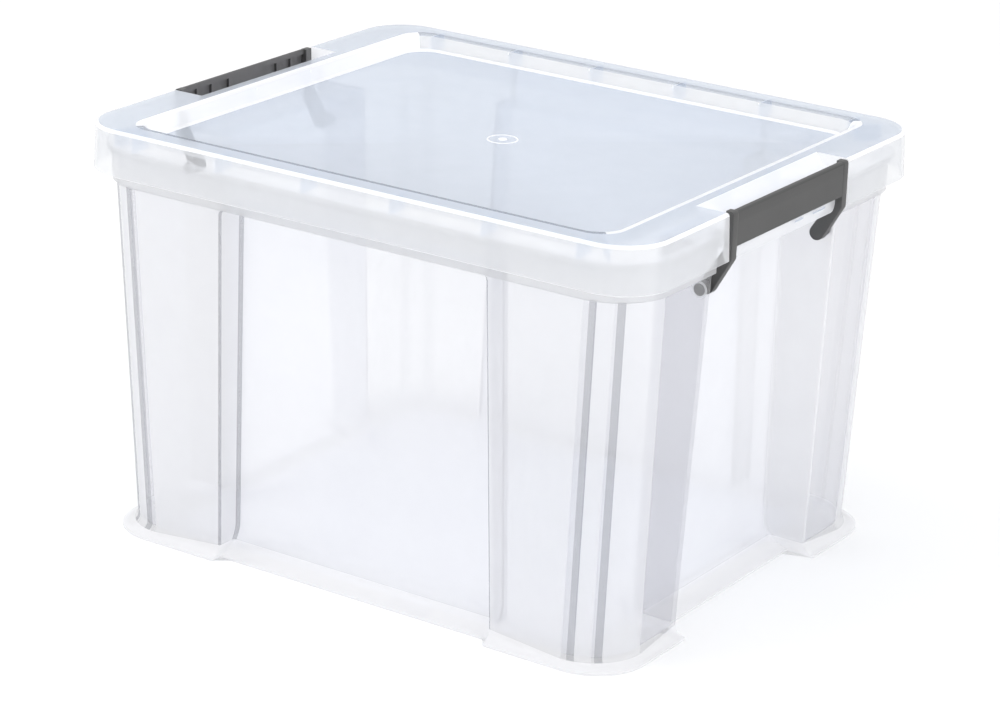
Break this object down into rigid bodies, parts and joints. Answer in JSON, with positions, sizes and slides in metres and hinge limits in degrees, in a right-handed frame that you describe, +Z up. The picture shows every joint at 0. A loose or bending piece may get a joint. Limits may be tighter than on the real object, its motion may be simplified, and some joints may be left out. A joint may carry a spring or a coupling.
{
  "type": "stackable storage bin",
  "caption": "Clear stackable storage bin with recessed side panels, a ribbed clip-on lid with a sunken centre panel, and grey hinged clip handles on both ends.",
  "frame": {"origin": "middle of the base, on the ground", "axes": "+X along the long side, towards the right clip handle; +Y across, towards the back; +Z up"},
  "size_m": [0.48, 0.39, 0.312],
  "materials": {
    "tub_plastic": "clear, faintly milky, smooth moulded",
    "lid_plastic": "clear, faint blue tint, smooth moulded",
    "clip_plastic": "mid grey, fine satin texture"
  },
  "bodies": {
    "tub": {"tub": "tub_plastic"},
    "lid": {"lid": "lid_plastic"},
    "clip_right": {"clip_handle_right": "clip_plastic"},
    "clip_left": {"clip_handle_left": "clip_plastic"}
  },
  "joints": [
    {"name": "clip_right_hinge", "type": "hinge", "parent": "tub", "child": "clip_right", "pos_m": [0.221, 0, 0.256], "axis": [0, 1, 0], "range_deg": [0, 150]},
    {"name": "clip_left_hinge", "type": "hinge", "parent": "tub", "child": "clip_left", "pos_m": [-0.221, 0, 0.256], "axis": [0, -1, 0], "range_deg": [0, 150]},
    {"name": "lid_lift", "type": "slide", "parent": "tub", "child": "lid", "axis": [0, 0, 1], "range_m": [0, 0.15]}
  ]
}
